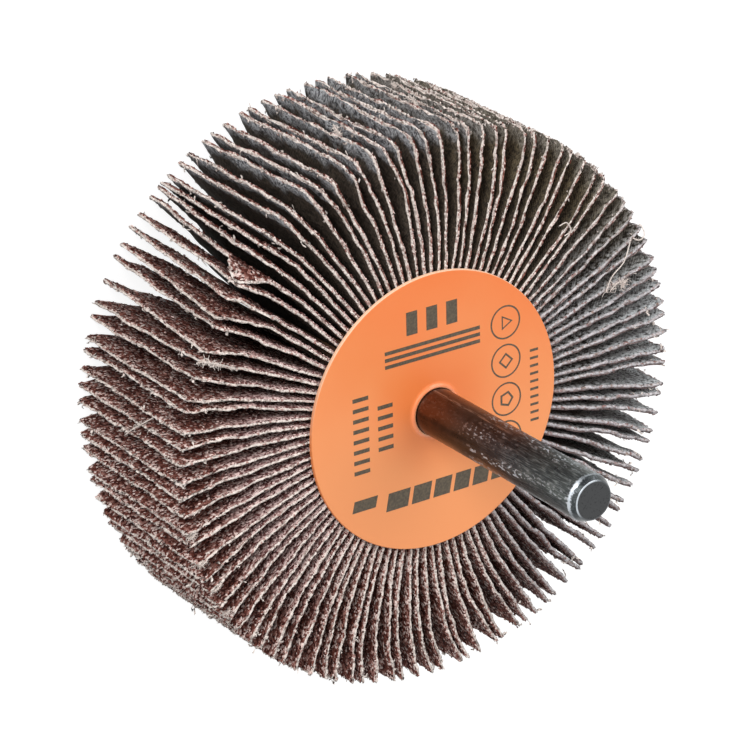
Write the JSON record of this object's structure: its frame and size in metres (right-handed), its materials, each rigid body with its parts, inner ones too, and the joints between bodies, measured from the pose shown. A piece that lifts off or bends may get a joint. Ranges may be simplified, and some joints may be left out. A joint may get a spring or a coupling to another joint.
{
  "type": "mounted flap wheel",
  "caption": "Abrasive flap wheel on a straight steel shank: radial cloth flaps on edge round a cast core with a thin orange disc label.",
  "frame": {"origin": "centre of the wheel's back plane, where the flaps' back edges lie", "axes": "+Z along the shank towards its free end; +X through the root of the first flap; the flaps count counter-clockwise seen from the shank side"},
  "size_m": [0.0764, 0.0762, 0.0599],
  "materials": {
    "steel": "dark, scuffed",
    "resin": "cast, matte",
    "label": "satin, printed",
    "abrasive_cloth": "coated with grain on one face"
  },
  "bodies": {
    "root": {"shank": "steel", "core": "resin", "label": "label", "flap_pair_01": "abrasive_cloth", "flap_pair_02": "abrasive_cloth", "flap_pair_03": "abrasive_cloth", "flap_pair_04": "abrasive_cloth", "flap_pair_05": "abrasive_cloth", "flap_pair_06": "abrasive_cloth", "flap_pair_07": "abrasive_cloth", "flap_pair_08": "abrasive_cloth", "flap_pair_09": "abrasive_cloth", "flap_pair_10": "abrasive_cloth", "flap_pair_11": "abrasive_cloth", "flap_pair_12": "abrasive_cloth", "flap_pair_13": "abrasive_cloth", "flap_pair_14": "abrasive_cloth", "flap_pair_15": "abrasive_cloth", "flap_pair_16": "abrasive_cloth", "flap_pair_17": "abrasive_cloth", "flap_pair_18": "abrasive_cloth", "flap_pair_19": "abrasive_cloth", "flap_pair_20": "abrasive_cloth", "flap_pair_21": "abrasive_cloth", "flap_pair_22": "abrasive_cloth", "flap_pair_23": "abrasive_cloth", "flap_pair_24": "abrasive_cloth", "flap_pair_25": "abrasive_cloth", "flap_pair_26": "abrasive_cloth", "flap_pair_27": "abrasive_cloth", "flap_pair_28": "abrasive_cloth", "flap_pair_29": "abrasive_cloth", "flap_pair_30": "abrasive_cloth", "flap_pair_31": "abrasive_cloth", "flap_pair_32": "abrasive_cloth", "flap_pair_33": "abrasive_cloth", "flap_pair_34": "abrasive_cloth", "flap_pair_35": "abrasive_cloth", "flap_pair_36": "abrasive_cloth", "flap_pair_37": "abrasive_cloth", "flap_pair_38": "abrasive_cloth", "flap_pair_39": "abrasive_cloth", "flap_pair_40": "abrasive_cloth", "flap_pair_41": "abrasive_cloth", "flap_pair_42": "abrasive_cloth", "flap_pair_43": "abrasive_cloth", "flap_pair_44": "abrasive_cloth", "flap_pair_45": "abrasive_cloth", "flap_pair_46": "abrasive_cloth", "flap_pair_47": "abrasive_cloth", "flap_pair_48": "abrasive_cloth", "flap_pair_49": "abrasive_cloth", "flap_pair_50": "abrasive_cloth", "flap_pair_51": "abrasive_cloth", "flap_pair_52": "abrasive_cloth", "flap_pair_53": "abrasive_cloth", "flap_pair_54": "abrasive_cloth"}
  },
  "joints": []
}
